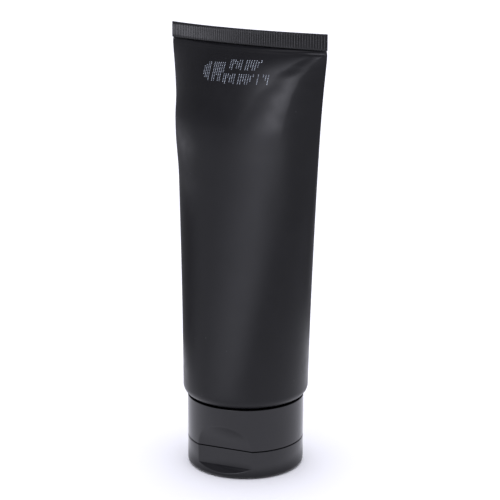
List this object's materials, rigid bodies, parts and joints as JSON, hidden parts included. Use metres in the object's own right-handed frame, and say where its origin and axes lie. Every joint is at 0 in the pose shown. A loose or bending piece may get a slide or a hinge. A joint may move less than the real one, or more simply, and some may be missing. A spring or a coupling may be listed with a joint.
{
  "type": "shaving cream tube",
  "caption": "Squeezable black tube with a crimped flat seal, standing on a screw-on flip-top cap with a thumb recess and a snap hinge.",
  "frame": {"origin": "centre of the lid's flat outer face, on the surface the tube stands on; it is also on the axis of the neck's thread", "axes": "+Z from the cap up to the crimped seal; X along the seal; -Y is the tube's broad front, the side the seal bulges to. The cap is turned 17.6 degrees about +Z, so its thumb facet faces (0.302, -0.953, 0) and its hinge lies opposite"},
  "size_m": [0.0776, 0.05, 0.1743],
  "materials": {
    "sleeve": "satin",
    "head": "matte",
    "cap": "high gloss",
    "lid": "high gloss",
    "hinge": "satin",
    "liner": "matte",
    "cream": "smooth cream"
  },
  "bodies": {
    "cap": {"cap_base": "cap", "hinge_film_left": "hinge", "hinge_film_right": "hinge"},
    "lid": {"flip_lid": "lid"},
    "strap": {"hinge_snap_strap": "hinge"},
    "liner": {"sealing_liner": "liner"},
    "tube": {"tube_head": "head", "tube_sleeve": "sleeve", "cream_fill": "cream"}
  },
  "joints": [
    {"name": "lid_hinge", "type": "hinge", "parent": "cap", "child": "lid", "pos_m": [-0.00709, 0.02235, 0.0114], "axis": [0.9532, 0.3024, 0], "range_deg": [0, 180], "deforming": ["hinge_film_left", "hinge_film_right"]},
    {"name": "strap_swing", "type": "hinge", "parent": "cap", "child": "strap", "pos_m": [-0.00643, 0.02026, 0.0136], "axis": [0.9532, 0.3024, 0], "range_deg": [0, 90]},
    {"name": "tube_turn", "type": "hinge", "parent": "cap", "child": "liner", "pos_m": [0, 0, 0.0162], "axis": [0, 0, 1], "range_deg": [0, 720]},
    {"name": "tube_lift", "type": "slide", "parent": "liner", "child": "tube", "axis": [0, 0, 1], "range_m": [0, 0.0064]}
  ],
  "couplings": [
    {"joint": "strap_swing", "follows": "lid_hinge", "ratio": 0.5},
    {"joint": "tube_lift", "follows": "tube_turn", "m_per_rad": 0.0005092}
  ]
}
